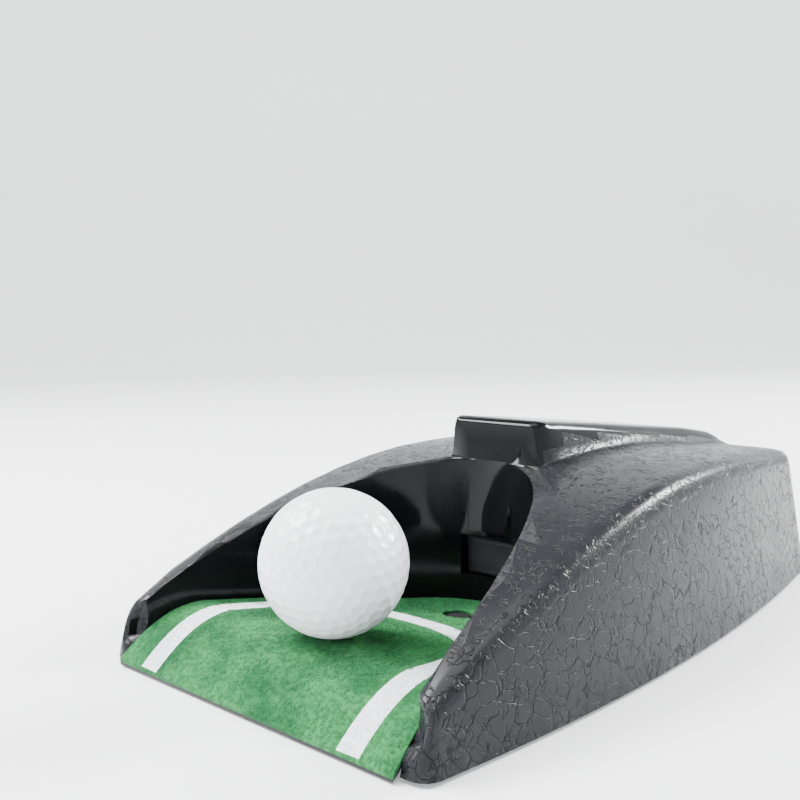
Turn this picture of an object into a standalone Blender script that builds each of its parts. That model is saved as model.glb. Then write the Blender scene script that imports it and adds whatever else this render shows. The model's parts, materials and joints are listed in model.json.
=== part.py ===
"""Automatic ball-return putting cup: a moulded housing with a felt ramp, a kicker and its gearbox.

Design coordinates have the front edge of the felt at y = 0, the ground at z = 0 and the cup's
middle line at x = 0. Everything is parented to one empty, which puts the middle of the
object's box over the world origin. Lengths are in metres.
"""

import math

import bmesh
import bpy
from mathutils import Matrix, Vector

MM = 0.001

# ---- overall body ---------------------------------------------------------------------------
NOSE_Y = 2.2 * MM  # front of the arms
NOSE_ROUND = 6.0 * MM
REAR_Y = 250.0 * MM
FRONT_HALF = 67.4 * MM  # half width over the arms at the front
SIDE_SWELL = 8.0 * MM  # how far the sides are pulled out beyond the front width
REAR_HALF = 60.5 * MM  # half width where the rear corner starts
REAR_SWELL = 15.0 * MM
REAR_CORNER = 26.0 * MM
DRAFT = math.tan(math.radians(10.0))
REAR_DRAFT = math.tan(math.radians(4.0))
WALL = 2.5 * MM
CREASE_HEIGHTS = (  # height of the housing's outer shoulder along its length
    (2.2, 7.5), (3.3, 11.0), (5.5, 15.2), (8.5, 18.6), (15.0, 22.8), (26.0, 27.6), (50.0, 36.9),
    (80.0, 46.2), (115.0, 53.0), (140.0, 54.4), (165.0, 54.2), (190.0, 52.6), (220.0, 50.2),
    (250.0, 47.4),
)
SHOULDER_NOSE = 5.0 * MM  # shoulder rounding at the arms' tips and at the rear
SHOULDER_REAR = 6.0 * MM
TOP_RISE = 3.5 * MM  # how far the top rises from its shoulder to the middle
BASE_Z = 1.2 * MM  # underside of the base plate above the ground
GAP = 0.3 * MM  # clearance between pieces that touch

# ---- cup and ramp ---------------------------------------------------------------------------
FELT_HALF = 59.0 * MM  # half width of the felt at its front edge
CUP_REAR = 107.6 * MM
CUP_FLARE_FRONT = 2.5 * MM  # how far the cup wall leans out over WALL_TOP
CUP_FLARE_REAR = 1.8 * MM
WALL_FOOT = 6.0 * MM  # the wall is upright below this
WALL_TOP = 75.0 * MM
RAMP_LIP = 2.4 * MM
LIP_FLOOR = 0.6 * MM  # underside of the deck's front lip
RAMP_SLOPE = 0.95  # steepness of the ramp at its lip
CREST_Y = 26.0 * MM
CREST_Z = 15.1 * MM
INCLINE_Y = 28.0 * MM  # the straight run down to the trigger starts here
INCLINE_DROP = 0.147  # metres down for each metre back
INCLINE_END = 92.0 * MM
FELT = 1.0 * MM
DECK = 1.5 * MM
PLATE = 1.5 * MM
PLATE_FRONT = 8.0 * MM
NOSE_SOLID = 14.0 * MM  # the arms are solid in front of this

# ---- ridge and column -----------------------------------------------------------------------
RIDGE_HALF = 19.0 * MM
RIDGE_HEIGHTS = (  # height of the ridge's top along its length
    (109.6, 69.8), (145.0, 65.7), (175.0, 61.8), (200.0, 58.7), (220.0, 56.1), (231.0, 53.7),
    (239.0, 50.8), (245.5, 46.5),
)
RIDGE_FOOT = 4.0 * MM  # how far the foot spreads beyond the ridge's side
RIDGE_ROUND = 3.0 * MM
COLUMN_WIDTHS = ((31.0, 11.5), (45.0, 14.3), (54.0, 16.8), (63.0, 17.5))  # level and half width
COLUMN_FOOT_Y = 105.0 * MM
COLUMN_TOP_Y = 109.6 * MM
MECHANISM_FRONT = 113.5 * MM  # front of the hollow behind the column

# ---- kicker ---------------------------------------------------------------------------------
KICK_Y = 111.2 * MM
KICK_Z = 25.8 * MM
KICK_BARREL = 2.2 * MM
KICK_HALF = 11.2 * MM
KICK_LOW = 15.0 * MM
KICK_PIN = 1.0 * MM
WINDOW_CLEAR = 0.6 * MM
QUADRANT_TEETH = 52  # of a whole circle; the quadrant has QUADRANT_CUT of them
QUADRANT_CUT = 8
QUADRANT_HALF = 2.2 * MM
SPRING_ARM = 10.0 * MM  # from the kicker pin to the spring
SPRING_X = -7.0 * MM
LEVER_LONG = 12.0 * MM
LEVER_HALF = 1.2 * MM
SPRING_WIRE = 0.35 * MM
SPRING_COIL = 2.0 * MM

# ---- gear train -----------------------------------------------------------------------------
MODULE = 0.8 * MM
PINION_TEETH = 10
WHEEL_TEETH = 30
DRIVE_TEETH = 40
KICK_TEETH = 30  # on the drive gear, for the kicker's quadrant
GEAR_WIDE = 3.5 * MM
GEAR_STEP = 5.5 * MM  # from one gear plane to the next
DRIVE_Y = 143.98 * MM
DRIVE_Z = 27.0 * MM
SHAFT = 1.0 * MM
SHAFT_CLEAR = 0.3 * MM
PLANE_X = 4.0 * MM  # inner side of the drive gear
TRAIN_TILTS = (-26.0, 28.0, -30.0)  # direction of each next gear centre, from the drive gear back
FRAME_WALL = 1.6 * MM
FRAME_LEFT = -6.0 * MM
MOTOR_R = 10.0 * MM
MOTOR_LONG = 25.0 * MM

# ---- trigger --------------------------------------------------------------------------------
TRIGGER_Y = 90.0 * MM
TRIGGER_HOLE = 5.35 * MM
TRIGGER_CAP = 4.4 * MM
TRIGGER_FLANGE = 6.2 * MM
TRIGGER_DISC = 0.6 * MM  # thickness of the dome switch under the plate

# ---- power ----------------------------------------------------------------------------------
CELL_R = 7.2 * MM
CELL_LONG = 50.0 * MM
BAY_X = -36.5 * MM
BAY_Y = 168.0 * MM
BAY_HALF = 16.0 * MM
BAY_LONG = 60.0 * MM
BAY_TALL = 17.5 * MM
BAY_WALL = 1.5 * MM
DOOR = 1.6 * MM
SWITCH_X = 38.0 * MM
SWITCH_Y = 150.0 * MM
SWITCH_TRAVEL = 3.0 * MM  # from the middle of its slot to either end

# ---- fasteners and feet ---------------------------------------------------------------------
SCREWS = ((-57.5, 64.0), (57.5, 64.0), (-24.0, 228.0), (46.0, 216.0))
WELL_R = 4.2 * MM
WELL_TOP = 12.5 * MM
WELL_BORE = 3.1 * MM
SCREW_R = 1.2 * MM
SCREW_HEAD = 2.6 * MM
FEET = ((-46.0, 24.0), (46.0, 24.0), (-44.0, 212.0), (46.0, 196.0))
FOOT_R = 6.5 * MM

# ---- ball -----------------------------------------------------------------------------------
BALL_R = 21.335 * MM
BALL_X = 4.0 * MM
BALL_Y = 29.5 * MM

MIDDLE_Y = REAR_Y / 2


# ---- scene and helpers ----------------------------------------------------------------------
def clear_scene():
    for obj in list(bpy.data.objects):
        bpy.data.objects.remove(obj, do_unlink=True)


def collection(name):
    made = bpy.data.collections.new(name)
    bpy.context.scene.collection.children.link(made)
    return made


clear_scene()
PARTS = collection("putting_cup")
CUTTERS = collection("cutters")
ORIGIN = bpy.data.objects.new("putting_cup_origin", None)
ORIGIN.location = (0, -MIDDLE_Y, 0)
PARTS.objects.link(ORIGIN)


def material(name, color, roughness, metallic=0.0):
    made = bpy.data.materials.new(name)
    made.use_nodes = True
    shader = made.node_tree.nodes["Principled BSDF"]
    shader.inputs["Base Color"].default_value = (*color, 1)
    shader.inputs["Roughness"].default_value = roughness
    shader.inputs["Metallic"].default_value = metallic
    return made


GRAINED = material("grained_black", (0.035, 0.035, 0.04), 0.45)
SATIN = material("satin_black", (0.02, 0.02, 0.022), 0.55)
GREEN = material("green_felt", (0.03, 0.28, 0.11), 0.95)
WHITE = material("white_plastic", (0.85, 0.86, 0.85), 0.35)
GREY = material("grey_nylon", (0.55, 0.55, 0.52), 0.5)
STEEL = material("steel", (0.6, 0.6, 0.6), 0.3, 1.0)
BRASS = material("brass", (0.7, 0.5, 0.2), 0.3, 1.0)
RUBBER = material("black_rubber", (0.03, 0.03, 0.03), 0.9)
CELL = material("cell_sleeve", (0.05, 0.2, 0.1), 0.35)
RED = material("red_insulation", (0.5, 0.02, 0.02), 0.4)
BLACK = material("black_insulation", (0.01, 0.01, 0.01), 0.4)


def place(obj, finish=None):
    """Finish None makes a helper that is only used by Booleans."""
    obj.parent = ORIGIN
    if finish is None:
        CUTTERS.objects.link(obj)
        obj.hide_render = True
        obj.display_type = "WIRE"
    else:
        PARTS.objects.link(obj)
        obj.data.materials.append(finish)
        obj.data.shade_smooth()
        obj.data.set_sharp_from_angle(angle=math.radians(35))
    return obj


def from_bmesh(name, bm, finish=None):
    bmesh.ops.remove_doubles(bm, verts=bm.verts, dist=1e-6)
    bmesh.ops.recalc_face_normals(bm, faces=bm.faces)
    mesh = bpy.data.meshes.new(name)
    bm.to_mesh(mesh)
    bm.free()
    return place(bpy.data.objects.new(name, mesh), finish)


def block(name, low, high, finish=None):
    low, high = Vector(low), Vector(high)
    size = high - low
    bm = bmesh.new()
    bmesh.ops.create_cube(bm, size=1, matrix=Matrix.Diagonal((*size, 1)))
    obj = from_bmesh(name, bm, finish)
    obj.location = (low + high) / 2
    return obj


TURNS = {
    "x": Matrix.Rotation(math.pi / 2, 4, "Y"),
    "y": Matrix.Rotation(-math.pi / 2, 4, "X"),
    "z": Matrix.Identity(4),
}


def rod(name, radius, start, length, axis="z", finish=None, sides=20, end_radius=None):
    """A cylinder or cone from start, running length along axis."""
    bm = bmesh.new()
    bmesh.ops.create_cone(
        bm, cap_ends=True, segments=sides, depth=length, radius1=radius,
        radius2=radius if end_radius is None else end_radius,
        matrix=TURNS[axis] @ Matrix.Translation((0, 0, length / 2)),
    )
    obj = from_bmesh(name, bm, finish)
    obj.location = start
    return obj


def prism(name, outline, start, length, axis="z", finish=None):
    """An outline of (a, b) points pushed along axis. They are (x, y) for z, and (y, z) for x."""
    bm = bmesh.new()
    if axis == "z":
        ring = [bm.verts.new((a, b, start)) for a, b in outline]
        push = (0, 0, length)
    else:
        ring = [bm.verts.new((start, a, b)) for a, b in outline]
        push = (length, 0, 0)
    made = bmesh.ops.extrude_face_region(bm, geom=[bm.faces.new(ring)])
    moved = [item for item in made["geom"] if isinstance(item, bmesh.types.BMVert)]
    bmesh.ops.translate(bm, verts=moved, vec=push)
    return from_bmesh(name, bm, finish)


def loft(name, rings, finish=None):
    """Closed rings of equal length joined in order, with the first and the last one filled."""
    bm = bmesh.new()
    rows = [[bm.verts.new(point) for point in ring] for ring in rings]
    for low, high in zip(rows, rows[1:]):
        for i, start in enumerate(low):
            j = (i + 1) % len(low)
            bm.faces.new((start, low[j], high[j], high[i]))
    bm.faces.new(rows[0])
    bm.faces.new(rows[-1])
    return from_bmesh(name, bm, finish)


def boolean(obj, other, operation):
    modifier = obj.modifiers.new(f"{operation.lower()}_{other.name}", "BOOLEAN")
    modifier.operation = operation
    modifier.object = other
    modifier.solver = "EXACT"


def cut(obj, *others):
    for other in others:
        boolean(obj, other, "DIFFERENCE")


def join(obj, *others):
    for other in others:
        boolean(obj, other, "UNION")


def tube(name, points, radius, finish, resolution=2):
    curve = bpy.data.curves.new(name, "CURVE")
    curve.dimensions = "3D"
    curve.bevel_depth = radius
    curve.bevel_resolution = resolution
    curve.use_fill_caps = True
    spline = curve.splines.new("POLY")
    spline.points.add(len(points) - 1)
    for target, point in zip(spline.points, points):
        target.co = (*point, 1)
    obj = bpy.data.objects.new(name, curve)
    obj.parent = ORIGIN
    PARTS.objects.link(obj)
    curve.materials.append(finish)
    return obj


def bezier(a, b, c, d, t):
    s = 1 - t
    return tuple(
        s**3 * p + 3 * s * s * t * q + 3 * s * t * t * r + t**3 * e
        for p, q, r, e in zip(a, b, c, d)
    )


def spaced(count, low=0.0, high=1.0):
    return [low + (high - low) * i / (count - 1) for i in range(count)]


def ease(share):
    share = min(max(share, 0.0), 1.0)
    return share * share * (3 - 2 * share)


def through(knots, at):
    """A smooth curve through (place, value) knots, read at one place."""
    at = min(max(at, knots[0][0]), knots[-1][0])
    k = max(i for i in range(len(knots) - 1) if knots[i][0] <= at or i == 0)

    def slope(i):
        low, high = knots[max(i - 1, 0)], knots[min(i + 1, len(knots) - 1)]
        return (high[1] - low[1]) / (high[0] - low[0])

    (x0, y0), (x1, y1) = knots[k], knots[k + 1]
    span = x1 - x0
    t = (at - x0) / span
    start, end = slope(k) * span, slope(k + 1) * span
    return (
        y0 * (2 * t**3 - 3 * t * t + 1) + start * (t**3 - 2 * t * t + t)
        + y1 * (3 * t * t - 2 * t**3) + end * (t**3 - t * t)
    )


# ---- housing shapes -------------------------------------------------------------------------
def crease_height(y):
    return through(CREASE_HEIGHTS, y / MM) * MM


def shoulder_round(y):
    return SHOULDER_NOSE + (SHOULDER_REAR - SHOULDER_NOSE) * ease(y / (90 * MM))


def side_curve(t):
    """Right side of the base, from the arm to the start of the rear corner."""
    return bezier(
        (FRONT_HALF, NOSE_Y + NOSE_ROUND),
        (FRONT_HALF + SIDE_SWELL, 0.286 * REAR_Y),
        (REAR_HALF + REAR_SWELL, 0.571 * REAR_Y),
        (REAR_HALF, REAR_Y - REAR_CORNER),
        t,
    )


def base_outline(inset=0.0, front=None):
    """Half outline of the housing's foot from the front middle to the rear middle, moved in by inset."""
    nose = [
        (FRONT_HALF - NOSE_ROUND * (1 - math.sin(a)), NOSE_Y + NOSE_ROUND * (1 - math.cos(a)))
        for a in spaced(6, 0, math.radians(78))
    ]
    side = [side_curve(t) for t in spaced(15)]
    corner = [
        (REAR_HALF - REAR_CORNER * (1 - math.cos(a)), REAR_Y - REAR_CORNER * (1 - math.sin(a)))
        for a in spaced(6, math.radians(15), math.radians(90))
    ]
    points = [(0, NOSE_Y), *nose, *side, *corner, (REAR_HALF / 3, REAR_Y), (0, REAR_Y)]
    moved = []
    for i, (x, y) in enumerate(points):
        before, after = points[max(i - 1, 0)], points[min(i + 1, len(points) - 1)]
        along = Vector((after[0] - before[0], after[1] - before[1])).normalized()
        if i in (0, len(points) - 1):
            along = Vector((1 if i == 0 else -1, 0))
        moved.append((max(x - along.y * inset, 0), y + along.x * inset, -along.y, along.x))
    if front is not None:
        kept = [p for p in moved if p[1] > front + MM]
        edge = kept[0][0]
        moved = [(0, front, 0, 1), (edge * 0.6, front, 0, 1), (edge, front, -0.7, 0.7), *kept]
    return moved


def top_height(x, y):
    """Height of the housing's top, which rises a little from the shoulder to the middle."""
    inward = max(0.0, 1 - abs(x) / (FRONT_HALF - SHOULDER_NOSE))
    fade = ease(y / (30 * MM)) * (1 - ease((y - 0.6 * REAR_Y) / (0.36 * REAR_Y)))
    return crease_height(y) + TOP_RISE * inward**0.7 * fade


def mirrored(half):
    """A half outline on the right followed by its mirror image, without repeating the middle points."""
    return half + [(-p[0], p[1], *(-v if i == 0 else v for i, v in enumerate(p[2:])))
                   for p in reversed(half[1:-1])]


def body_blank(name, inset, bottom, front=None):
    """The housing's outside as a closed solid, or its inside when inset is a wall's thickness."""
    bm = bmesh.new()
    columns = []
    for x, y, inx, iny in mirrored(base_outline(inset, front)):
        round_off = max(shoulder_round(y) - inset, 1.2 * MM)
        height = crease_height(y) - inset

        def at(depth, z):
            return (x + inx * depth, y + iny * depth, z)

        share = max(0.0, -iny) ** 2
        lean = (DRAFT + (REAR_DRAFT - DRAFT) * share) * (height - round_off)
        middle = 0.5 * (bottom + height - round_off)
        points = [at(0, bottom), at(lean * 0.5, middle), at(lean, height - round_off)]
        for a in (math.radians(30), math.radians(60), math.radians(90)):
            rise = height - round_off + round_off * math.sin(a)
            points.append(at(lean + round_off * (1 - math.cos(a)), rise))
        edge = Vector(points[-1])
        spine_y = min(max(y, 40 * MM), REAR_Y - 45 * MM)
        spine = Vector((0, spine_y, 0))
        for share in (0.12, 0.35, 0.65, 1.0):
            spot = edge.lerp(spine, share)
            level = top_height(spot.x, spot.y) - inset
            top = height + (level - height) * min(1.0, share * 4)
            points.append((spot.x, spot.y, top))
        columns.append([bm.verts.new(p) for p in points])
    for here, after in zip(columns, columns[1:] + columns[:1]):
        for i in range(len(here) - 1):
            bm.faces.new((here[i], after[i], after[i + 1], here[i + 1]))
    bm.faces.new([column[0] for column in columns])
    bmesh.ops.remove_doubles(bm, verts=bm.verts, dist=1e-6)
    bmesh.ops.dissolve_degenerate(bm, edges=bm.edges, dist=1e-6)
    return from_bmesh(name, bm)


def cup_curve(flare_front=0.0, flare_rear=0.0, front=None):
    """Half outline of the cup at one level, from the front to the rear middle."""
    half = [
        bezier(
            (FELT_HALF + flare_front, 0),
            (0.885 * FELT_HALF + flare_front, 0.54 * CUP_REAR),
            (0.53 * FELT_HALF + flare_rear, CUP_REAR + flare_rear),
            (0, CUP_REAR + flare_rear),
            t,
        )
        for t in spaced(20)
    ]
    if front is not None:
        half.insert(0, (half[0][0], front))
    return half


def cup_block(name, grow):
    """The cup's space as a solid that is open to the front, grown by the wall where it is asked for."""
    front = -30 * MM
    levels = (
        (-8 * MM, grow, grow), (WALL_FOOT, grow, grow),
        (WALL_TOP, grow + CUP_FLARE_FRONT, grow + CUP_FLARE_REAR),
    )
    rings = []
    for z, flare_front, flare_rear in levels:
        half = cup_curve(flare_front, flare_rear, front)
        ring = half + [(-x, y) for x, y in reversed(half[:-1])]
        rings.append([(x, y, z) for x, y in ring])
    return loft(name, rings)


def ridge_rings(sections):
    """Rings across the ridge; a section is its place, half width, top, foot level and foot half width."""
    rings = []
    for y, half, top, foot, foot_half in sections:
        flank = foot + 0.35 * (top - foot)
        right = [
            (0, top), (half - RIDGE_ROUND, top), (half - 0.3 * RIDGE_ROUND, top - 0.3 * RIDGE_ROUND),
            (half, top - RIDGE_ROUND), (half + 0.25 * (foot_half - half), flank),
            (half + 0.55 * (foot_half - half), foot + 0.1 * (top - foot)), (foot_half, foot),
            (foot_half, foot - 3 * MM),
        ]
        ring = right + [(-x, z) for x, z in reversed(right[1:])]
        rings.append([(x, y, z) for x, z in ring])
    return rings


def ridge_top(y):
    return through(RIDGE_HEIGHTS, y / MM) * MM


def make_ridge():
    sections = []
    rear = RIDGE_HEIGHTS[-1][0] * MM
    for y in (
        COLUMN_TOP_Y, COLUMN_TOP_Y + 2 * MM, COLUMN_TOP_Y + 7 * MM,
        *spaced(6, COLUMN_TOP_Y + 13 * MM, rear - 15 * MM), rear - 9 * MM, rear - 4 * MM, rear,
    ):
        chamfer = 1.5 * MM if y == COLUMN_TOP_Y else 0
        spread = RIDGE_FOOT * (0.15 + 0.85 * ease((y - COLUMN_TOP_Y) / (12 * MM)))
        top = ridge_top(y) - chamfer
        foot = min(top_height(RIDGE_HALF, y) - 0.4 * MM, top - 2 * MM)
        sections.append((y, RIDGE_HALF - chamfer, top, foot, RIDGE_HALF + spread))
    return loft("ridge", ridge_rings(sections))


def make_column():
    """The tapered post under the front of the ridge, with chamfered corners."""
    rings = []
    back = MECHANISM_FRONT + 2 * MM
    low, high = COLUMN_WIDTHS[0][0], COLUMN_WIDTHS[-1][0]
    for level, half in COLUMN_WIDTHS:
        front = COLUMN_FOOT_Y + (COLUMN_TOP_Y - COLUMN_FOOT_Y) * (level - low) / (high - low)
        corner = 0.35 * half * MM
        right = [(half * MM - corner, front), (half * MM, front + corner), (half * MM, back)]
        ring = right + [(-x, y) for x, y in reversed(right)]
        rings.append([(x, y, level * MM) for x, y in ring])
    return loft("column", rings)


def make_housing():
    housing = body_blank("upper_housing", 0, BASE_Z)
    CUTTERS.objects.unlink(housing)
    housing.hide_render = False
    housing.display_type = "TEXTURED"
    PARTS.objects.link(housing)
    housing.data.materials.append(GRAINED)
    housing.data.shade_smooth()
    housing.data.set_sharp_from_angle(angle=math.radians(35))
    hollow = body_blank("hollow", WALL, -3 * MM, NOSE_SOLID)
    cut(hollow, cup_block("cup_wall", WALL))
    cut(housing, cup_block("cup_space", 0), hollow)
    join(housing, make_ridge(), make_column())
    half = RIDGE_HALF - WALL
    rings = [
        [(x, y, z) for x, z in ((half, 20 * MM), (half, ridge_top(y) - 2 * WALL),
                                (half - WALL, ridge_top(y) - WALL), (WALL - half, ridge_top(y) - WALL),
                                (-half, ridge_top(y) - 2 * WALL), (-half, 20 * MM))]
        for y in (MECHANISM_FRONT, 160 * MM, 200 * MM, 225 * MM)
    ]
    cut(housing, loft("ridge_space", rings))
    side = KICK_HALF + WINDOW_CLEAR
    cut(housing, block(
        "kicker_window",
        (-side, CUP_REAR - 12 * MM, KICK_LOW - WINDOW_CLEAR),
        (side, MECHANISM_FRONT + 8 * MM, KICK_Z + KICK_BARREL + WINDOW_CLEAR),
    ))
    ear = KICK_HALF + 3.4 * MM + GAP
    cut(housing, block("hinge_pocket", (-ear, KICK_Y - 1.9 * MM - GAP, KICK_Z - 3 * MM),
                       (ear, MECHANISM_FRONT + MM, KICK_Z + 4.4 * MM)))
    hook_y, hook_z = spring_hook()
    lug = block("spring_lug", (SPRING_X - MM, hook_y - 2 * MM, hook_z - 1.8 * MM),
                (SPRING_X + MM, hook_y + 2 * MM, ridge_top(hook_y) - 0.5 * WALL))
    join(housing, lug)
    cut(housing, rod("spring_lug_eye", 2 * SPRING_WIRE, (SPRING_X - 5 * MM, hook_y, hook_z), 10 * MM, "x", sides=12))
    floor = base_outline(WALL, PLATE_FRONT - GAP)
    ring = [(p[0], p[1]) for p in mirrored(floor)]
    cut(housing, prism("plate_seat", ring, -3 * MM, BASE_Z + PLATE + GAP + 3 * MM))
    for i, (x, y) in enumerate(SCREWS):
        x, y = x * MM, y * MM
        top = top_height(x, y) - 0.7 * WALL
        low = WELL_TOP + GAP
        join(housing, rod(f"boss_{i + 1}", 3.6 * MM, (x, y, low), top - low, sides=16))
        cut(housing, rod(f"boss_bore_{i + 1}", SCREW_R + GAP, (x, y, low - MM), 12 * MM, sides=12))
    return housing


# ---- ramp -----------------------------------------------------------------------------------
def ramp_height(y):
    """Top of the felt: a steep convex rise, a crest, a straight run down and a level end."""
    crest_fall = INCLINE_DROP * (INCLINE_Y - CREST_Y) / 2
    if y < CREST_Y:
        t = y / CREST_Y
        rise = RAMP_LIP * (2 * t**3 - 3 * t * t + 1) + CREST_Z * (3 * t * t - 2 * t**3)
        return rise + RAMP_SLOPE * CREST_Y * (t**3 - 2 * t * t + t)
    if y < INCLINE_Y:
        t = (y - CREST_Y) / (INCLINE_Y - CREST_Y)
        return CREST_Z - crest_fall * t * t
    run = min(y, INCLINE_END) - INCLINE_Y
    return CREST_Z - crest_fall - INCLINE_DROP * run


def ramp_stops():
    rear = CUP_REAR + 4 * MM
    return [*spaced(12, 0, CREST_Y), 0.5 * (CREST_Y + INCLINE_Y), INCLINE_Y, INCLINE_END, rear]


def ramp_band(name, above, below, half):
    """A sheet that follows the ramp, from above to below under the felt's top."""
    stops = ramp_stops()
    upper = [(y, ramp_height(y) - above) for y in stops]
    lower = [(y, max(ramp_height(y) - below, LIP_FLOOR)) for y in reversed(stops)]
    return prism(name, upper + lower, -half, 2 * half, axis="x")


def cup_floor(name, inset):
    half = cup_curve(-inset, -inset)
    return prism(name, half + [(-x, y) for x, y in reversed(half[:-1])], -5 * MM, 40 * MM)


def finish_as(obj, name, finish):
    """Turn a helper into a piece of the object."""
    obj.name = name
    CUTTERS.objects.unlink(obj)
    obj.hide_render = False
    obj.display_type = "TEXTURED"
    PARTS.objects.link(obj)
    obj.data.materials.append(finish)
    obj.data.shade_smooth()
    obj.data.set_sharp_from_angle(angle=math.radians(35))
    return obj


def make_felt():
    felt = finish_as(ramp_band("felt_band", 0, FELT, FELT_HALF + MM), "felt_mat", GREEN)
    boolean(felt, cup_floor("felt_outline", GAP), "INTERSECT")
    hole = rod("trigger_hole", TRIGGER_HOLE, (0, TRIGGER_Y, -5 * MM), 40 * MM, sides=24)
    cut(felt, hole)
    return felt


def make_deck():
    over = FELT + 0.05 * MM
    deck = finish_as(ramp_band("deck_band", over, over + DECK, FELT_HALF + MM), "ramp_deck", SATIN)
    floor = BASE_Z + PLATE + GAP
    for i, x in enumerate((-32 * MM, 0, 32 * MM)):
        stops = [y for y in ramp_stops() if PLATE_FRONT + 3 * MM < y < 72 * MM] + [70 * MM]
        upper = [(y, ramp_height(y) - over - 0.5 * DECK) for y in stops]
        outline = upper + [(stops[-1], floor), (stops[0], floor)]
        join(deck, prism(f"deck_rib_{i + 1}", outline, x - 0.9 * MM, 1.8 * MM, axis="x"))
    boolean(deck, cup_floor("deck_outline", GAP + 0.2 * MM), "INTERSECT")
    cut(deck, rod("trigger_bore", TRIGGER_CAP + GAP, (0, TRIGGER_Y, -5 * MM), 40 * MM, sides=24))
    return deck


# ---- base plate -----------------------------------------------------------------------------
def make_base():
    half = base_outline(WALL + GAP, PLATE_FRONT)
    ring = [(p[0], p[1]) for p in mirrored(half)]
    base = finish_as(prism("base_outline", ring, BASE_Z, PLATE), "base_plate", SATIN)
    out = BAY_WALL
    outer = block(
        "bay_outside", (BAY_X - BAY_HALF - out, BAY_Y - BAY_LONG / 2 - out, BASE_Z),
        (BAY_X + BAY_HALF + out, BAY_Y + BAY_LONG / 2 + out, BASE_Z + BAY_TALL + out),
    )
    inner = block(
        "bay_inside", (BAY_X - BAY_HALF, BAY_Y - BAY_LONG / 2, -MM),
        (BAY_X + BAY_HALF, BAY_Y + BAY_LONG / 2, BASE_Z + BAY_TALL),
    )
    join(base, outer)
    for i, (x, y) in enumerate(SCREWS):
        join(base, rod(f"well_{i + 1}", WELL_R, (x * MM, y * MM, BASE_Z), WELL_TOP - BASE_Z, sides=16))
    cut(base, inner)
    lip = 1.6 * MM
    rebate = block(
        "door_rebate", (BAY_X - BAY_HALF - lip, BAY_Y - BAY_LONG / 2 - lip, -MM),
        (BAY_X + BAY_HALF + lip, BAY_Y + BAY_LONG / 2 + lip, BASE_Z + 0.6 * MM),
    )
    cut(base, rebate)
    for i, (x, y) in enumerate(SCREWS):
        x, y = x * MM, y * MM
        cut(base, rod(f"well_bore_{i + 1}", WELL_BORE, (x, y, -MM), WELL_TOP - 0.5 * MM, sides=16))
        cut(base, rod(f"well_hole_{i + 1}", SCREW_R + GAP, (x, y, 5 * MM), 12 * MM, sides=12))
    cut(base, rod("trigger_well", TRIGGER_FLANGE + MM, (0, TRIGGER_Y, -MM), 8 * MM, sides=24))
    slot = (5 * MM, SWITCH_TRAVEL + 4 * MM)
    cut(base, block(
        "switch_slot", (SWITCH_X - slot[0] / 2, SWITCH_Y - slot[1], -MM),
        (SWITCH_X + slot[0] / 2, SWITCH_Y + slot[1], 8 * MM),
    ))
    floor = BASE_Z + PLATE
    for name, x in (("saddle_left", -8 * MM), ("saddle_right", 8 * MM)):
        y, z = motor_centre()
        wide = MOTOR_R + 2 * MM
        saddle = block(name, (x - MM, y - wide, floor - MM), (x + MM, y + wide, z - 0.2 * MOTOR_R))
        join(base, saddle)
    y, z = motor_centre()
    cut(base, rod("motor_seat", MOTOR_R + GAP, (-20 * MM, y, z), 40 * MM, "x", sides=32))
    return base


# ---- gear train -----------------------------------------------------------------------------
def pitch_radius(teeth):
    return MODULE * teeth / 2


def train_centres():
    """(y, z) of the drive gear, the two compound gears and the motor pinion, in that order."""
    spans = (
        pitch_radius(DRIVE_TEETH) + pitch_radius(PINION_TEETH),
        pitch_radius(WHEEL_TEETH) + pitch_radius(PINION_TEETH),
        pitch_radius(WHEEL_TEETH) + pitch_radius(PINION_TEETH),
    )
    centres = [(DRIVE_Y, DRIVE_Z)]
    for span, tilt in zip(spans, TRAIN_TILTS):
        y, z = centres[-1]
        angle = math.radians(tilt)
        centres.append((y + span * math.cos(angle), z + span * math.sin(angle)))
    return centres


def motor_centre():
    return train_centres()[-1]


def gear_outline(teeth, centre, phase):
    """Straight-sided teeth with play at the pitch line, as (y, z) points."""
    pitch = pitch_radius(teeth)
    root, tip = pitch - 1.25 * MODULE, pitch + 0.85 * MODULE
    step = 2 * math.pi / teeth
    outline = []
    for i in range(teeth):
        middle = phase + i * step
        for radius, share in ((root, -0.30), (tip, -0.10), (tip, 0.10), (root, 0.30)):
            angle = middle + share * step
            outline.append((centre[0] + radius * math.cos(angle), centre[1] + radius * math.sin(angle)))
    return outline


def mesh_phases():
    """Turn of each gear about its own axis, so that a tooth meets a gap at every mesh."""
    centres = train_centres()
    toward = [
        math.atan2(b[1] - a[1], b[0] - a[0]) for a, b in zip(centres, centres[1:])
    ]
    drive = toward[0]
    small_2 = toward[0] + math.pi + math.pi / PINION_TEETH
    big_2 = toward[1]
    small_1 = toward[1] + math.pi + math.pi / PINION_TEETH
    big_1 = toward[2]
    pinion = toward[2] + math.pi + math.pi / PINION_TEETH
    return {"drive": drive, "gear_2": (small_2, big_2), "gear_1": (small_1, big_1), "pinion": pinion}


def gear_plane(step):
    return PLANE_X + step * GEAR_STEP


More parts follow.
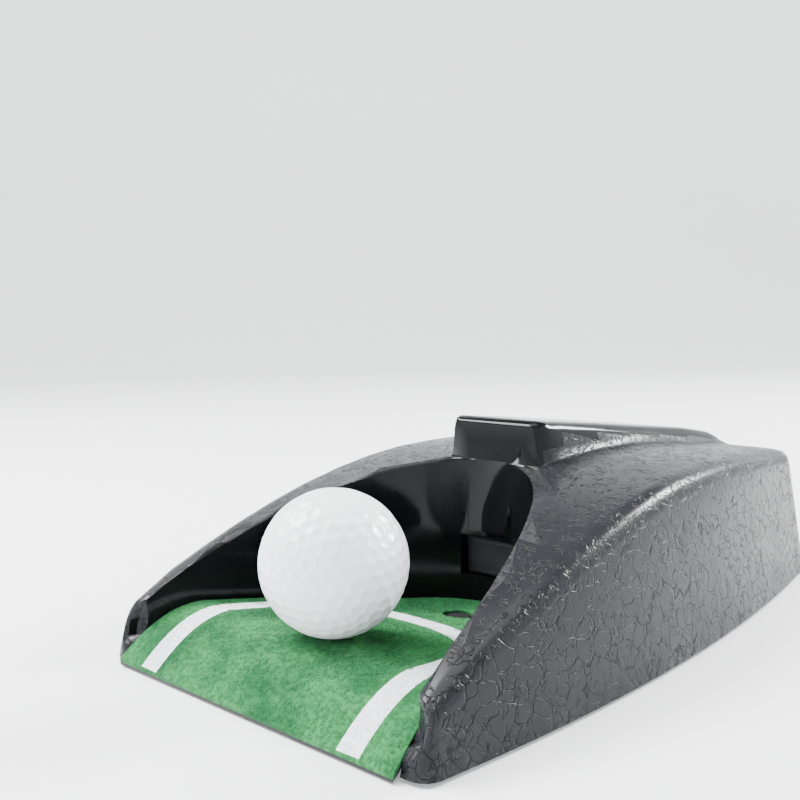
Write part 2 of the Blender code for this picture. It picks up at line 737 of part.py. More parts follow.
def make_gears():
    drive_at, second, first, motor = train_centres()
    phases = mesh_phases()
    play = SHAFT + 0.05 * MM
    drive = finish_as(
        prism("drive_blank", gear_outline(DRIVE_TEETH, drive_at, phases["drive"]), PLANE_X, GEAR_WIDE, "x"),
        "drive_gear", WHITE,
    )
    hub = rod("drive_hub", 4 * MM, (-3 * MM, *drive_at), PLANE_X + GEAR_WIDE + 6 * MM, "x")
    small_phase = kicker_line() + math.pi + math.pi / KICK_TEETH
    small = prism("drive_small", gear_outline(KICK_TEETH, drive_at, small_phase),
                  -QUADRANT_HALF, 2 * QUADRANT_HALF, "x")
    join(drive, hub, small)
    cut(drive, rod("drive_bore", play, (-10 * MM, *drive_at), 30 * MM, "x"))
    for name, centre, plane, phase in (
        ("compound_gear_2", second, 0, phases["gear_2"]), ("compound_gear_1", first, 1, phases["gear_1"]),
    ):
        small, big = phase
        x = gear_plane(plane)
        gear = finish_as(
            prism(f"{name}_small", gear_outline(PINION_TEETH, centre, small), x - 0.4 * MM,
                  GEAR_STEP + 0.8 * MM, "x"), name, GREY,
        )
        join(gear, prism(f"{name}_big", gear_outline(WHEEL_TEETH, centre, big), gear_plane(plane + 1),
                         GEAR_WIDE, "x"))
        cut(gear, rod(f"{name}_bore", play, (-10 * MM, *centre), 50 * MM, "x"))
    x = gear_plane(2)
    pinion = finish_as(
        prism("pinion_blank", gear_outline(PINION_TEETH, motor, phases["pinion"]), x - 0.4 * MM,
              GEAR_WIDE + 0.8 * MM, "x"), "motor_pinion", BRASS,
    )
    cut(pinion, rod("pinion_bore", SHAFT + 0.05 * MM, (x - 5 * MM, *motor), 20 * MM, "x"))


def frame_right():
    return gear_plane(2) + GEAR_WIDE + 1.6 * MM


def make_gearbox():
    drive_at, second, first, motor = train_centres()
    floor = BASE_Z + PLATE + GAP
    reach = frame_right() - FRAME_LEFT + FRAME_WALL
    for name, centre in (("drive_shaft", drive_at), ("gear_2_shaft", second), ("gear_1_shaft", first)):
        rod(name, SHAFT, (FRAME_LEFT - 1.2 * MM, *centre), reach + 2.4 * MM, "x", STEEL, sides=16)
    outline = [
        (drive_at[0] - 7 * MM, floor), (first[0] + 7 * MM, floor), (first[0] + 7 * MM, first[1] + 5 * MM),
        (drive_at[0] + 5 * MM, drive_at[1] + 8 * MM), (drive_at[0] - 5 * MM, drive_at[1] + 8 * MM),
        (drive_at[0] - 7 * MM, drive_at[1]),
    ]
    for name, x, toe in (("gearbox_frame_left", FRAME_LEFT, -1), ("gearbox_frame_right", frame_right(), 1)):
        plate = finish_as(prism(f"{name}_blank", outline, x, FRAME_WALL, "x"), name, SATIN)
        low_x, high_x = sorted((x + FRAME_WALL / 2, x + FRAME_WALL / 2 + toe * 9 * MM))
        join(plate, block(f"{name}_toe", (low_x, drive_at[0] + 4 * MM, floor),
                          (high_x, first[0] - 2 * MM, floor + 2 * MM)))
        for i, centre in enumerate((drive_at, second, first)):
            bore = rod(f"{name}_bore_{i + 1}", SHAFT + 0.05 * MM, (x - 4 * MM, *centre), 10 * MM, "x", sides=16)
            cut(plate, bore)
        if toe < 0:
            cut(plate, rod("motor_room", MOTOR_R + MM, (x - 4 * MM, *motor), 10 * MM, "x", sides=32))
        screw_x = x + FRAME_WALL / 2 + toe * 6 * MM
        screw_y = (drive_at[0] + first[0]) / 2
        cut(plate, rod(f"{name}_hole", SCREW_R + GAP, (screw_x, screw_y, 0), 12 * MM, sides=12))
        make_screw(f"{name.replace('frame', 'screw')}", screw_x, screw_y, floor + 2 * MM + GAP, -1)


def make_screw(name, x, y, z, point):
    """A pan head screw with its head resting at z; point is 1 when it points up and -1 when down."""
    length = 9 * MM if point > 0 else 2.2 * MM
    head = rod(name, SCREW_HEAD, (x, y, z - (1.6 * MM if point > 0 else 0)), 1.6 * MM, finish=STEEL, sides=16)
    shank = rod(f"{name}_shank", SCREW_R, (x, y, z - 0.2 * MM if point > 0 else z - length), length + 0.2 * MM,
                sides=12)
    join(head, shank)
    slot = z - 1.7 * MM if point > 0 else z + MM
    for i, (a, b) in enumerate(((1.8 * MM, 0.35 * MM), (0.35 * MM, 1.8 * MM))):
        cut(head, block(f"{name}_slot_{i + 1}", (x - a, y - b, slot), (x + a, y + b, slot + 0.7 * MM)))
    return head


def make_motor():
    y, z = motor_centre()
    face = gear_plane(2) - 2.4 * MM
    back = face - MOTOR_LONG
    motor = rod("motor", MOTOR_R, (back, y, z), MOTOR_LONG, "x", STEEL, sides=32)
    join(motor, rod("motor_nose", 3 * MM, (face - MM, y, z), 2 * MM, "x"))
    cut(motor, rod("motor_bearing", SHAFT + GAP, (face - 4 * MM, y, z), 8 * MM, "x", sides=16))
    rod("motor_shaft", SHAFT, (face - 3 * MM, y, z), 3 * MM + 2.4 * MM + GEAR_WIDE + MM, "x", STEEL, sides=16)
    join(motor, rod("motor_tail", 4 * MM, (back - 1.5 * MM, y, z), 3 * MM, "x"))
    for i, side in enumerate((-1, 1)):
        lug = block(f"motor_lug_{i + 1}", (back - 3 * MM, y - MM, z + side * 6 * MM - 0.3 * MM),
                    (back + MM, y + MM, z + side * 6 * MM + 0.3 * MM))
        join(motor, lug)


# ---- kicker ---------------------------------------------------------------------------------
def spring_hook():
    """(y, z) of the upper eye of the kicker spring."""
    return KICK_Y + SPRING_ARM, KICK_Z + 22 * MM


def kicker_line():
    """Direction in (y, z) from the kicker's pin to the drive gear."""
    return math.atan2(DRIVE_Z - KICK_Z, DRIVE_Y - KICK_Y)


def make_quadrant():
    """The toothed quadrant on the kicker's barrel, which the drive gear turns down."""
    teeth = gear_outline(QUADRANT_TEETH, (KICK_Y, KICK_Z), kicker_line() - 2 * math.pi / QUADRANT_TEETH)
    edge = teeth[: 4 * QUADRANT_CUT]
    outline = [(KICK_Y, KICK_Z - 1.6 * MM), *edge, (KICK_Y, KICK_Z + 1.8 * MM)]
    quadrant = prism("kicker_quadrant", outline, -QUADRANT_HALF, 2 * QUADRANT_HALF, "x")
    tilt = kicker_line() + (QUADRANT_CUT / 2 - 1.5) * 2 * math.pi / QUADRANT_TEETH
    reach = 0.6 * pitch_radius(QUADRANT_TEETH)
    hole = (-5 * MM, KICK_Y + reach * math.cos(tilt), KICK_Z + reach * math.sin(tilt))
    cut(quadrant, rod("quadrant_hole", 3.2 * MM, hole, 10 * MM, "x"))
    return quadrant


def make_kicker():
    kicker = rod("kicker_paddle", KICK_BARREL, (-KICK_HALF, KICK_Y, KICK_Z), 2 * KICK_HALF, "x", SATIN)
    front = KICK_Y - KICK_BARREL
    plate = block("kicker_plate", (-KICK_HALF, front, KICK_LOW), (KICK_HALF, front + 3 * MM, KICK_Z))
    join(kicker, plate, make_quadrant())
    lever = [
        (KICK_Y, KICK_Z - 1.6 * MM), (KICK_Y + LEVER_LONG, KICK_Z - 0.4 * MM),
        (KICK_Y + LEVER_LONG, KICK_Z + 3 * MM), (KICK_Y, KICK_Z + 1.8 * MM),
    ]
    join(kicker, prism("spring_lever", lever, SPRING_X - LEVER_HALF, 2 * LEVER_HALF, "x"))
    cut(kicker, rod("kicker_bore", KICK_PIN + 0.05 * MM, (-20 * MM, KICK_Y, KICK_Z), 40 * MM, "x", sides=16))
    cut(kicker, rod("spring_eye", 2 * SPRING_WIRE,
                    (SPRING_X - 2 * MM, KICK_Y + SPRING_ARM, KICK_Z + 1.2 * MM), 4 * MM, "x", sides=12))
    rod("kicker_pin", KICK_PIN, (-KICK_HALF - 2.4 * MM, KICK_Y, KICK_Z), 2 * KICK_HALF + 4.8 * MM, "x",
        STEEL, sides=16)
    for name, side in (("kicker_hinge_left", -1), ("kicker_hinge_right", 1)):
        low, high = sorted((side * (KICK_HALF + WINDOW_CLEAR + 0.2 * MM), side * (KICK_HALF + 3.4 * MM)))
        rear = KICK_Y + 9 * MM
        lug = block(name, (low, MECHANISM_FRONT + GAP, BASE_Z + PLATE + GAP), (high, rear, KICK_Z + 4 * MM),
                    SATIN)
        ear = block(f"{name}_ear", (low, KICK_Y - 1.9 * MM, KICK_Z - 1.9 * MM),
                    (high, rear - MM, KICK_Z + 1.9 * MM))
        join(lug, ear)
        cut(lug, rod(f"{name}_bore", KICK_PIN + 0.05 * MM, (-20 * MM, KICK_Y, KICK_Z), 40 * MM, "x",
                     sides=16))


def make_kicker_spring():
    """An extension spring from the lever up to a lug under the ridge, which lifts the lever."""
    y, top = spring_hook()
    eye = KICK_Z + 1.2 * MM
    low, high = eye + 3.4 * MM, top - 3.6 * MM
    turns, steps = 7, 10
    out = LEVER_HALF + 2.2 * SPRING_WIRE
    coil = [
        (SPRING_X + SPRING_COIL * math.cos(2 * math.pi * i / steps), y + SPRING_COIL * math.sin(2 * math.pi * i / steps),
         low + (high - low) * i / (turns * steps))
        for i in range(turns * steps + 1)
    ]
    left, right = SPRING_X - out, SPRING_X + out
    lower_hook = [(left, y, eye), (right, y, eye), (right, y, eye + 2 * MM)]
    upper_hook = [(right, y, top - 2 * MM), (right, y, top), (left, y, top)]
    tube("kicker_spring", lower_hook + coil + upper_hook, SPRING_WIRE, STEEL)


# ---- trigger --------------------------------------------------------------------------------
def make_trigger():
    top = ramp_height(TRIGGER_Y)
    under_deck = ramp_height(INCLINE_END) - FELT - 0.05 * MM - DECK
    flange_top = under_deck - GAP
    flange = 0.6 * MM
    button = rod("trigger_button", TRIGGER_FLANGE, (0, TRIGGER_Y, flange_top - flange), flange,
                 finish=SATIN, sides=24)
    cap_low = flange_top - 0.5 * flange
    join(button, rod("trigger_cap", TRIGGER_CAP, (0, TRIGGER_Y, cap_low), top - 0.5 * MM - cap_low,
                     sides=24, end_radius=TRIGGER_CAP - 0.5 * MM))
    low = BASE_Z - GAP
    rod("trigger_switch", TRIGGER_FLANGE + 2.6 * MM, (0, TRIGGER_Y, low - TRIGGER_DISC), TRIGGER_DISC,
        finish=GREY, sides=24)
    bottom = flange_top - flange - GAP
    steps = 10
    wire = 0.2 * MM
    ring = [
        (3 * MM * math.cos(2 * math.pi * i / steps), TRIGGER_Y + 3 * MM * math.sin(2 * math.pi * i / steps),
         low + GAP + wire + (bottom - low - GAP - 2 * wire) * i / (1.6 * steps))
        for i in range(int(1.6 * steps) + 1)
    ]
    tube("trigger_spring", ring, wire, STEEL)


# ---- power ----------------------------------------------------------------------------------
def make_power():
    z = BASE_Z + DOOR + GAP + CELL_R + 0.5 * MM
    start = BAY_Y - CELL_LONG / 2
    for name, x, flip in (("cell_left", BAY_X - 7.8 * MM, 1), ("cell_right", BAY_X + 7.8 * MM, -1)):
        cell = rod(name, CELL_R, (x, start + (0 if flip > 0 else 1.2 * MM), z), CELL_LONG - 1.2 * MM, "y", CELL,
                   sides=24)
        tip = start + (CELL_LONG - 1.5 * MM if flip > 0 else 0)
        join(cell, rod(f"{name}_tip", 2.7 * MM, (x, tip, z), 1.5 * MM, "y", sides=16))
    y_low, y_high = BAY_Y - BAY_LONG / 2, BAY_Y + BAY_LONG / 2
    width = 13 * MM
    for name, x, y in (
        ("contact_plate_front", BAY_X, y_low + GAP), ("contact_positive", BAY_X - 7.8 * MM, y_high - 0.8 * MM),
        ("contact_negative", BAY_X + 7.8 * MM, y_high - 0.8 * MM),
    ):
        half = width if name == "contact_plate_front" else width / 2 - 0.5 * MM
        block(name, (x - half, y, z - 5 * MM), (x + half, y + 0.5 * MM, z + 5 * MM), STEEL)
    for name, x, low, high in (
        ("contact_spring_front", BAY_X - 7.8 * MM, y_low + 1.1 * MM, start - GAP),
        ("contact_spring_rear", BAY_X + 7.8 * MM, start + CELL_LONG + GAP, y_high - 1.1 * MM),
    ):
        steps, turns = 10, 3
        wire = 0.35 * MM
        forward = name.endswith("front")
        coil = []
        for i in range(turns * steps + 1):
            share = i / (turns * steps)
            radius = 4.5 * MM - 1.8 * MM * (share if forward else 1 - share)
            angle = 2 * math.pi * i / steps
            coil.append((x + radius * math.cos(angle), low + wire + (high - low - 2 * wire) * share,
                         z + radius * math.sin(angle)))
        tube(name, coil, wire, STEEL)
    lip = 1.6 * MM - GAP
    door = block(
        "battery_door", (BAY_X - BAY_HALF - lip, BAY_Y - BAY_LONG / 2 - lip, BASE_Z - 0.9 * MM),
        (BAY_X + BAY_HALF + lip, BAY_Y + BAY_LONG / 2 + lip, BASE_Z + 0.3 * MM), SATIN,
    )
    catch_y = BAY_Y + BAY_LONG / 2
    catch = block("door_catch", (BAY_X - 5 * MM, catch_y - 2.4 * MM, BASE_Z),
                  (BAY_X + 5 * MM, catch_y - 1.2 * MM, BASE_Z + 3 * MM))
    join(door, catch)
    grip = block("door_grip", (BAY_X - 6 * MM, catch_y - 7 * MM, BASE_Z - 2 * MM),
                 (BAY_X + 6 * MM, catch_y - 4 * MM, BASE_Z - 0.4 * MM))
    cut(door, grip)


def make_switch():
    floor = BASE_Z + PLATE + GAP
    body = block("power_switch_body", (SWITCH_X - 5 * MM, SWITCH_Y - 10 * MM, floor),
                 (SWITCH_X + 5 * MM, SWITCH_Y + 10 * MM, floor + 7 * MM), STEEL)
    half = 1.7 * MM
    cut(body, block("switch_throat", (SWITCH_X - half - GAP, SWITCH_Y - SWITCH_TRAVEL - half - GAP, 0),
                    (SWITCH_X + half + GAP, SWITCH_Y + SWITCH_TRAVEL + half + GAP, floor + 3 * MM)))
    off = SWITCH_Y - SWITCH_TRAVEL
    block("power_switch_knob", (SWITCH_X - half, off - half, BASE_Z - 0.7 * MM),
          (SWITCH_X + half, off + half, floor + 2 * MM), SATIN)


def make_park_switch():
    """A leaf switch beside the drive gear, which ends each stroke."""
    y, z = DRIVE_Y - 8 * MM, BASE_Z + PLATE + GAP
    body = block("park_switch", (-17 * MM, y - 8 * MM, z), (-9 * MM, y + 8 * MM, z + 8 * MM), GREY)
    leaf = block("park_leaf", (-15 * MM, y - 7 * MM, z + 7.5 * MM), (-11 * MM, y - 6 * MM, z + 14 * MM))
    join(body, leaf)


def make_wires():
    y, z = motor_centre()
    face = gear_plane(2) - 2.4 * MM
    back = face - MOTOR_LONG
    end_y = BAY_Y + BAY_LONG / 2 + BAY_WALL
    for name, finish, start, lug, hump in (
        ("power_wire_red", RED, (BAY_X - 4 * MM, end_y + 1.2 * MM, 14 * MM), 6 * MM, 26 * MM),
        ("power_wire_black", BLACK, (BAY_X + 10 * MM, end_y + 1.2 * MM, 10 * MM), -6 * MM, 14 * MM),
    ):
        finish_at = (back - 4.2 * MM, y, z + lug)
        points = [
            bezier(start, (start[0] + 2 * MM, start[1] + 8 * MM, hump),
                   (finish_at[0] - 0.6 * MM, y + 14 * MM, z + lug), finish_at, t)
            for t in spaced(14)
        ]
        tube(name, points, 0.6 * MM, finish)


# ---- the rest -------------------------------------------------------------------------------
def make_feet():
    for i, (x, y) in enumerate(FEET):
        rod(f"foot_{i + 1}", FOOT_R, (x * MM, y * MM, 0), BASE_Z - GAP, finish=RUBBER, sides=24)


def make_ball():
    slope = math.atan(INCLINE_DROP)
    contact = ramp_height(BALL_Y)
    bm = bmesh.new()
    bmesh.ops.create_icosphere(bm, subdivisions=3, radius=BALL_R)
    ball = from_bmesh("golf_ball", bm, WHITE)
    lift = BALL_R + GAP
    ball.location = (BALL_X, BALL_Y + lift * math.sin(slope), contact + lift * math.cos(slope))


make_housing()
make_base()
make_deck()
make_felt()
make_kicker()
make_kicker_spring()
make_gears()
make_gearbox()
make_motor()
make_trigger()
make_power()
make_switch()
make_park_switch()
make_wires()
make_feet()
for number, (screw_x, screw_y) in enumerate(SCREWS):
    make_screw(f"housing_screw_{number + 1}", screw_x * MM, screw_y * MM, WELL_TOP - 1.8 * MM - GAP, 1)
make_ball()
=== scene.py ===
"""Looks of the automatic putting cup: moulded crackle housing, flocked ramp, dimpled ball, works."""

import json
import math

import bmesh
import bpy
import numpy as np
from mathutils import Matrix, Vector
from mathutils.bvhtree import BVHTree


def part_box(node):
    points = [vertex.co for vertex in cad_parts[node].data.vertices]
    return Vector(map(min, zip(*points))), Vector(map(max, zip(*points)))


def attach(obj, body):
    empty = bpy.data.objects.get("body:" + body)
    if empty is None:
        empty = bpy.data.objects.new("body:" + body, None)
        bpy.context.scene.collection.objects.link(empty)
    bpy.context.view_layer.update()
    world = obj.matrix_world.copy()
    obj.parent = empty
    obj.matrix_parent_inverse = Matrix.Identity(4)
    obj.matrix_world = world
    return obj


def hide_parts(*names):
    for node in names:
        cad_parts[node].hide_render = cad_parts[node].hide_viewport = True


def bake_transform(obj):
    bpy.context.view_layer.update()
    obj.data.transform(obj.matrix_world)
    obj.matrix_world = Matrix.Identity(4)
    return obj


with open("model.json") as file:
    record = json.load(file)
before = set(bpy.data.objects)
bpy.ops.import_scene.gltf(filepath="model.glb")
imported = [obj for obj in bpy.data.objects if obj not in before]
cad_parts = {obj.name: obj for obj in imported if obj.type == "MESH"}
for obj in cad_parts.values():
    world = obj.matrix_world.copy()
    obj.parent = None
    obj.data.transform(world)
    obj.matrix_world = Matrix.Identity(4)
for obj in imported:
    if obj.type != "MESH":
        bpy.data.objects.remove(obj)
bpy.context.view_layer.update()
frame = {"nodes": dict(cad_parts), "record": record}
BODY_OF = {node: body for body, nodes in frame["record"]["behaviour"]["bodies"].items() for node in nodes}
MM = 0.001
FELT_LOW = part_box("felt_mat")[0]
FRONT = FELT_LOW.y
BALL_LOW, BALL_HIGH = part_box("golf_ball")
PADDLE_LOW, PADDLE_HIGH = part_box("kicker_paddle")
CUP_HALF = 59.0 * MM  # half width of the cup at its mouth
CUP_DEEP = 107.6 * MM
CUP_LEAN = 0.035  # rise of the wall's facing, because it leans out
CUP_STEPS = 80  # points along each half of the cup's curve
RIDGE_HALF = 19.6 * MM
RIDGE_START = 104 * MM  # like the next three, counted from the felt's front edge
CUP_END = 109 * MM
CUP_MIDDLE = 60 * MM
NOSE_END = 4 * MM
CUP_OUTER = 64.5 * MM  # half width that holds the whole of the cup's wall
LINE_WIDE = 7.9 * MM
# The white line's curve, in millimetres from the middle of the felt's front edge.
LINE_CURVE = ((43.1, 0.25), (42.7, 30.0), (47.2, 70.4), (0.0, 70.4))
LINE_STEPS = 40
FIBRES = 4.2e6  # per square metre
GREEN_LONG = 0.4 * MM
WHITE_LONG = 0.18 * MM  # shorter, because the ball rolls close over it
FIBRE_THICK = 0.07 * MM
DIMPLE_STEPS = 6  # gives 362 dimples
DIMPLE_RADIUS = 2.0 * MM
DIMPLE_DEEP = 0.32 * MM
BALL_FINENESS = 7
WELD = 3e-6  # closer points of a CAD mesh are one point
# Each spring's moving body, and whether its low end is the one that stays with the base.
SPRING_ENDS = {"kicker_spring": ("kicker", False), "trigger_spring": ("trigger", True)}
FLOOR_FLAT = 1.3
FLOOR_CURVE = 0.6
FLOOR_HIGH = 1.5
CAMERA_AT = (0.20943, -0.27393, 0.10833)
CAMERA_TURN = math.radians(42.14)
CAMERA_PITCH = math.radians(7.85)
CAMERA_ROLL = math.radians(-0.87)
CAMERA_LENS = 44.45
CAMERA_SHIFT = (-0.05, 0.05)


# ---- node helpers ---------------------------------------------------------------------------
def add(tree, kind, values=None, **settings):
    """A node with its settings, and its inputs set to a value or linked from a socket."""
    node = tree.nodes.new(kind)
    for key, value in settings.items():
        setattr(node, key, value)
    for key, value in (values or {}).items():
        if isinstance(value, bpy.types.NodeSocket):
            tree.links.new(value, node.inputs[key])
        else:
            node.inputs[key].default_value = value
    return node


def math_node(tree, operation, a, b=0.0, clamp=False):
    return add(tree, "ShaderNodeMath", {0: a, 1: b}, operation=operation, use_clamp=clamp).outputs[0]


def ranged(tree, value, low, high, to_low=0.0, to_high=1.0):
    """The value eased from one range to another."""
    node = add(
        tree, "ShaderNodeMapRange",
        {"Value": value, "From Min": low, "From Max": high, "To Min": to_low, "To Max": to_high},
        interpolation_type="SMOOTHSTEP",
    )
    return node.outputs["Result"]


def blended(tree, factor, a, b):
    node = add(tree, "ShaderNodeMix", {0: factor, 6: a, 7: b}, data_type="RGBA")
    return node.outputs[2]


def noise(tree, place, scale, detail=2.0, rough=0.5):
    node = add(
        tree, "ShaderNodeTexNoise",
        {"Vector": place, "Scale": scale, "Detail": detail, "Roughness": rough},
    )
    return node.outputs


def group(name, inputs, outputs):
    """An empty shader group with its named sockets."""
    tree = bpy.data.node_groups.new(name, "ShaderNodeTree")
    for label, value in inputs.items():
        tree.interface.new_socket(label, in_out="INPUT", socket_type="NodeSocketFloat").default_value = value
    for label in outputs:
        tree.interface.new_socket(label, in_out="OUTPUT", socket_type="NodeSocketFloat")
    place = tree.nodes.new("ShaderNodeTexCoord").outputs["Object"]
    return tree, tree.nodes.new("NodeGroupInput").outputs, tree.nodes.new("NodeGroupOutput").inputs, place


def crackle_group():
    """Wandering grooves between closed cells; Broken leaves only pieces of them."""
    tree, given, out, place = group(
        "crackle", {"Cells": 150.0, "Wander": 0.002, "Width": 0.05, "Broken": 0.0}, ("Groove", "Cell")
    )
    drift = noise(tree, place, math_node(tree, "MULTIPLY", given["Cells"], 0.9), 1.0)["Color"]
    centred = add(tree, "ShaderNodeVectorMath", {0: drift, 1: (0.5, 0.5, 0.5)}, operation="SUBTRACT")
    moved = add(
        tree, "ShaderNodeVectorMath", {0: centred.outputs[0], "Scale": given["Wander"]}, operation="SCALE"
    )
    at = add(tree, "ShaderNodeVectorMath", {0: place, 1: moved.outputs[0]}, operation="ADD").outputs[0]
    spot = {"Vector": at, "Scale": given["Cells"]}
    edge = add(tree, "ShaderNodeTexVoronoi", spot, feature="DISTANCE_TO_EDGE")
    wide = noise(tree, place, math_node(tree, "MULTIPLY", given["Cells"], 1.7), 1.0)["Fac"]
    width = math_node(tree, "MULTIPLY", given["Width"], ranged(tree, wide, 0.3, 0.7, 0.4, 1.5))
    groove = ranged(tree, edge.outputs["Distance"], width, 0.0)
    patch = noise(tree, place, math_node(tree, "MULTIPLY", given["Cells"], 0.75), 0.0)["Fac"]
    low = math_node(tree, "SUBTRACT", given["Broken"], 0.06)
    kept = ranged(tree, patch, low, math_node(tree, "ADD", given["Broken"], 0.06))
    tree.links.new(math_node(tree, "MULTIPLY", groove, kept), out["Groove"])
    cell = add(tree, "ShaderNodeTexVoronoi", spot, feature="F1")
    tone = add(tree, "ShaderNodeSeparateColor", {"Color": cell.outputs["Color"]})
    tree.links.new(tone.outputs[0], out["Cell"])
    return tree


def grain_group():
    """Fine moulded or drawn grain, with slower patches."""
    tree, given, out, place = group("grain", {"Fine": 2500.0, "Patch": 60.0}, ("Grain", "Patches"))
    tree.links.new(noise(tree, place, given["Fine"], 3.0, 0.6)["Fac"], out["Grain"])
    tree.links.new(noise(tree, place, given["Patch"], 3.0)["Fac"], out["Patches"])
    return tree


def pile_group():
    """Speckle of single fibres, tufts, and slow patches where the pile lies over, used for painted sheen."""
    tree, given, out, place = group("pile", {"Fibre": 2600.0, "Tuft": 700.0, "SheenLie": 42.0},
                                    ("Speckle", "Tufts", "SheenLay"))
    for label, size, detail in (("Speckle", "Fibre", 2.0), ("Tufts", "Tuft", 3.0), ("SheenLay", "SheenLie", 4.0)):
        tree.links.new(noise(tree, place, given[size], detail, 0.6)["Fac"], out[label])
    return tree


CRACKLE = crackle_group()
GRAIN = grain_group()
PILE = pile_group()


def placed(tree, shared, **values):
    node = tree.nodes.new("ShaderNodeGroup")
    node.node_tree = shared
    for label, value in values.items():
        node.inputs[label].default_value = value
    return node.outputs


def finish(name, **sockets):
    """A material with its plain numbers set on the shader; returns it with its tree and shader."""
    made = bpy.data.materials.new(name)
    made.use_nodes = True
    tree = made.node_tree
    shader = tree.nodes["Principled BSDF"]
    for key, value in sockets.items():
        shader.inputs[key.replace("_", " ")].default_value = value
    return made, tree, shader


def bump(tree, shader, height, strength, depth):
    node = add(tree, "ShaderNodeBump", {"Height": height, "Strength": strength, "Distance": depth})
    tree.links.new(node.outputs["Normal"], shader.inputs["Normal"])


# ---- finishes -------------------------------------------------------------------------------
def crackle_plastic():
    made, tree, shader = finish("crackle_black", Specular_IOR_Level=0.13)
    surface = tree.nodes.new("ShaderNodeNewGeometry")
    facing = add(tree, "ShaderNodeSeparateXYZ", {0: surface.outputs["Normal"]})
    on_top = ranged(tree, facing.outputs["Z"], 0.45, 0.8)
    side = placed(tree, CRACKLE, Cells=185.0, Wander=0.0045, Width=0.05, Broken=0.24)
    small = placed(tree, CRACKLE, Cells=330.0, Wander=0.005, Width=0.07, Broken=0.54)
    top = placed(tree, CRACKLE, Cells=340.0, Wander=0.006, Width=0.11, Broken=0.46)
    both = math_node(tree, "MAXIMUM", side["Groove"], small["Groove"])
    groove = math_node(
        tree, "ADD", math_node(tree, "MULTIPLY", both, math_node(tree, "SUBTRACT", 1.0, on_top)),
        math_node(tree, "MULTIPLY", top["Groove"], on_top),
    )
    grain = placed(tree, GRAIN, Fine=2200.0, Patch=45.0)
    cells = blended(tree, grain["Patches"], (0.010, 0.0105, 0.0125, 1), (0.019, 0.0195, 0.023, 1))
    # The grooves are coloured near black: painted shade in the recesses, on top of the bump that sinks them.
    tree.links.new(blended(tree, groove, cells, (0.003, 0.003, 0.004, 1)), shader.inputs["Base Color"])
    rough = ranged(tree, grain["Patches"], 0.3, 0.7, 0.21, 0.29)
    tree.links.new(math_node(tree, "ADD", rough, math_node(tree, "MULTIPLY", groove, 0.2)),
                   shader.inputs["Roughness"])
    height = math_node(tree, "SUBTRACT", math_node(tree, "MULTIPLY", grain["Grain"], 0.12), groove)
    bump(tree, shader, height, 0.6, 0.22 * MM)
    return made


def gloss_plastic():
    made, tree, shader = finish("gloss_black", Specular_IOR_Level=0.14)
    grain = placed(tree, GRAIN, Fine=300.0, Patch=35.0)
    tree.links.new(blended(tree, grain["Patches"], (0.0025, 0.0025, 0.003, 1), (0.005, 0.005, 0.006, 1)),
                   shader.inputs["Base Color"])
    tree.links.new(ranged(tree, grain["Patches"], 0.3, 0.7, 0.07, 0.14), shader.inputs["Roughness"])
    bump(tree, shader, grain["Grain"], 0.10, 0.05 * MM)
    return made


def satin(name, dark, light, rough, fine=1800.0, strength=0.25):
    made, tree, shader = finish(name, Specular_IOR_Level=0.2)
    grain = placed(tree, GRAIN, Fine=fine, Patch=70.0)
    tree.links.new(blended(tree, grain["Patches"], (*dark, 1), (*light, 1)), shader.inputs["Base Color"])
    tree.links.new(ranged(tree, grain["Patches"], 0.3, 0.7, rough - 0.06, rough + 0.06),
                   shader.inputs["Roughness"])
    bump(tree, shader, grain["Grain"], strength, 0.08 * MM)
    return made


def metal(name, dark, light, rough):
    made, tree, shader = finish(name, Metallic=1.0)
    grain = placed(tree, GRAIN, Fine=3000.0, Patch=160.0)
    tree.links.new(blended(tree, grain["Patches"], (*dark, 1), (*light, 1)), shader.inputs["Base Color"])
    tree.links.new(ranged(tree, grain["Grain"], 0.3, 0.7, rough - 0.08, rough + 0.1),
                   shader.inputs["Roughness"])
    bump(tree, shader, grain["Grain"], 0.15, 0.04 * MM)
    return made


def pile(name, shade, middle, light, strength):
    """Short flocked pile in shaded, middle and lit copies of one colour: painted shade in the tufts, painted
    sheen in patches where it lies over.
    """
    made, tree, shader = finish(name, Sheen_Weight=0.06, Sheen_Roughness=0.6, Roughness=0.95,
                                Specular_IOR_Level=0.15)
    pile_masks = placed(tree, PILE)
    # Painted sheen lightens random patches, painted shade darkens the tufts and painted highlights lighten
    # single fibres.
    base = blended(tree, ranged(tree, pile_masks["SheenLay"], 0.36, 0.64), (*middle, 1), (*light, 1))
    tufts = blended(tree, ranged(tree, pile_masks["Tufts"], 0.62, 0.38, 0.0, 0.55), base, (*shade, 1))
    speckle = blended(tree, ranged(tree, pile_masks["Speckle"], 0.55, 0.75, 0.0, 0.5), tufts, (*light, 1))
    tree.links.new(speckle, shader.inputs["Base Color"])
    height = math_node(tree, "ADD", pile_masks["Speckle"], pile_masks["Tufts"])
    bump(tree, shader, height, strength, 0.35 * MM)
    return made


def ball_cover():
    made, tree, shader = finish("ball_cover", Coat_Weight=0.35, Coat_Roughness=0.12)
    grain = placed(tree, GRAIN, Fine=1500.0, Patch=90.0)
    tree.links.new(blended(tree, grain["Patches"], (0.80, 0.82, 0.86, 1), (0.87, 0.885, 0.91, 1)),
                   shader.inputs["Base Color"])
    tree.links.new(ranged(tree, grain["Patches"], 0.3, 0.7, 0.30, 0.40), shader.inputs["Roughness"])
    bump(tree, shader, grain["Grain"], 0.05, 0.03 * MM)
    return made
